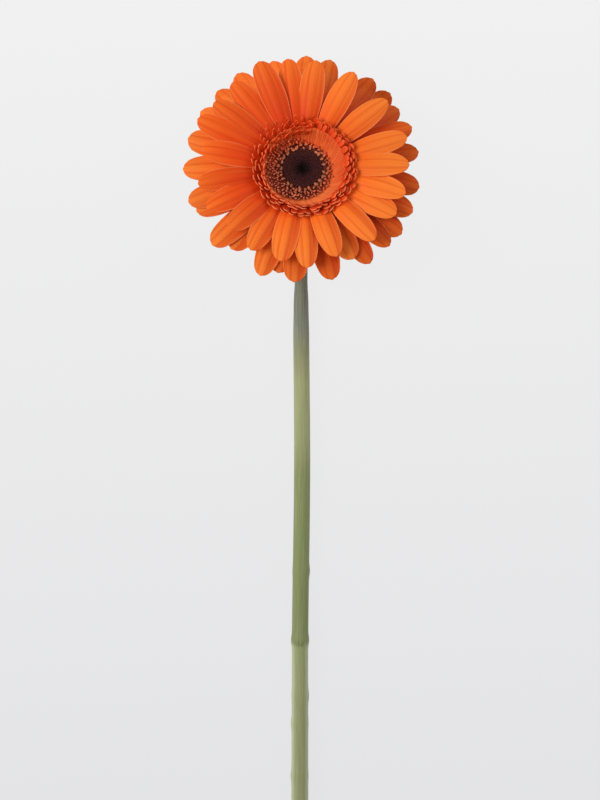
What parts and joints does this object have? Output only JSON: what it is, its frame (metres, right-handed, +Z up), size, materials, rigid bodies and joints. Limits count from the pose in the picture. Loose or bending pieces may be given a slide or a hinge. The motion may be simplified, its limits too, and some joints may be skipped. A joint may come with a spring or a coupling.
{
  "type": "cut gerbera",
  "caption": "Cut gerbera lying on its back: a smooth leafless green stalk, a neck bent up under the head, and a wide open orange flower with a raised collar and a dark eye.",
  "frame": {"origin": "on the table, under the middle of the flower's bounding box", "axes": "+Y along the stalk from the cut end to the head, +Z up off the table, +X to the right seen from above with the head at the top"},
  "size_m": [0.1082, 0.4011, 0.044],
  "materials": {
    "scape": "fresh green stalk, faintly downy, satin",
    "involucre": "fresh green bracts, downy, matt",
    "ray_petals": "soft orange petal, satin",
    "collar_petals": "deeper orange petal, satin",
    "disc_tips": "tan and orange-brown floret tips, matt",
    "dark_eye": "almost black purple-brown buds, matt"
  },
  "bodies": {
    "root": {"scape": "scape", "involucre": "involucre", "ray_florets": "ray_petals", "trans_florets": "collar_petals", "disc_florets": "disc_tips", "disc_buds": "dark_eye"}
  },
  "joints": []
}
